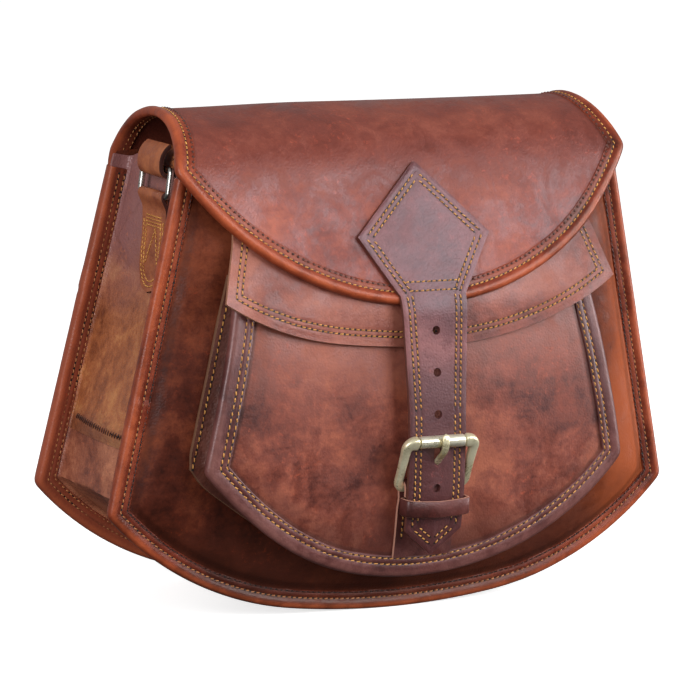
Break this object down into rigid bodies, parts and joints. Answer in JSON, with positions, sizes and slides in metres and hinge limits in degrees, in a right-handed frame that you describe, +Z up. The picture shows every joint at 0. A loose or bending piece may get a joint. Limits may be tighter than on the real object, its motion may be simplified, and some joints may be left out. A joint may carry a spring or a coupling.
{
  "type": "leather saddle bag",
  "caption": "Curved-bottom leather saddle bag with an arched flap, kite-topped billet, roller buckle, bound front pocket and ringed gussets for a shoulder strap.",
  "frame": {"origin": "under the middle of the whole bag's box, on the surface that it stands on", "axes": "+X to the right seen from the front, -Y out of the front, +Z up"},
  "size_m": [0.305, 0.1459, 0.248],
  "materials": {
    "body_leather": "vegetable-tanned goat leather, reddish brown, waxed and hand rubbed",
    "trim_leather": "edge binding, reddish brown, polished",
    "dark_leather": "billet, kite patch, pocket binding, dark oxblood brown",
    "strap_leather": "shoulder strap and tabs, brown",
    "antique_brass": "cast buckle, pale antique brass, lightly worn",
    "nickel_ring": "nickel-plated wire ring"
  },
  "bodies": {
    "bag": {"back_panel": "body_leather", "front_panel": "body_leather", "gusset_left": "body_leather", "gusset_bottom": "body_leather", "gusset_right": "body_leather", "front_binding": "trim_leather", "back_binding": "trim_leather", "pocket_panel": "body_leather", "pocket_gusset": "body_leather", "pocket_binding": "dark_leather", "buckle_chape": "dark_leather", "keeper_loop": "dark_leather", "ring_tab_left": "strap_leather", "ring_tab_right": "strap_leather", "shoulder_strap": "strap_leather"},
    "flap": {"flap_panel": "body_leather", "flap_binding": "trim_leather", "billet_patch": "dark_leather"},
    "pocket_cover": {"pocket_flap": "body_leather"},
    "billet": {"billet_strap": "dark_leather"},
    "buckle": {"buckle_frame": "antique_brass"},
    "prong": {"buckle_prong": "antique_brass"},
    "roller": {"buckle_roller": "antique_brass"},
    "ring_left": {"ring_left": "nickel_ring", "strap_end_left": "strap_leather"},
    "ring_right": {"ring_right": "nickel_ring", "strap_end_right": "strap_leather"}
  },
  "joints": [
    {"name": "flap_hinge", "type": "hinge", "parent": "bag", "child": "flap", "pos_m": [0, 0.0578, 0.222], "axis": [-1, 0, 0], "range_deg": [0, 140]},
    {"name": "pocket_flap_hinge", "type": "hinge", "parent": "bag", "child": "pocket_cover", "pos_m": [0, -0.0254, 0.204], "axis": [-1, 0, 0], "range_deg": [0, 90]},
    {"name": "billet_lift", "type": "hinge", "parent": "flap", "child": "billet", "pos_m": [0, -0.055, 0.1542], "axis": [-1, 0, 0], "range_deg": [0, 90], "deforming": ["billet_strap"]},
    {"name": "buckle_tilt", "type": "hinge", "parent": "bag", "child": "buckle", "pos_m": [0, -0.0572, 0.067], "axis": [1, 0, 0], "range_deg": [0, 20]},
    {"name": "prong_swing", "type": "hinge", "parent": "buckle", "child": "prong", "pos_m": [0, -0.0572, 0.067], "axis": [1, 0, 0], "range_deg": [0, 70]},
    {"name": "roller_spin", "type": "hinge", "parent": "buckle", "child": "roller", "pos_m": [0, -0.0672, 0.0903], "axis": [1, 0, 0], "continuous": true},
    {"name": "ring_left_swing", "type": "hinge", "parent": "bag", "child": "ring_left", "pos_m": [-0.1146, 0.013, 0.204], "axis": [0, -1, 0], "range_deg": [0, 80], "deforming": ["strap_end_left"]},
    {"name": "ring_right_swing", "type": "hinge", "parent": "bag", "child": "ring_right", "pos_m": [0.1146, 0.013, 0.204], "axis": [0, 1, 0], "range_deg": [0, 80], "deforming": ["strap_end_right"]}
  ],
  "couplings": [
    {"joint": "pocket_flap_hinge", "follows": "flap_hinge", "ratio": 0.6}
  ]
}
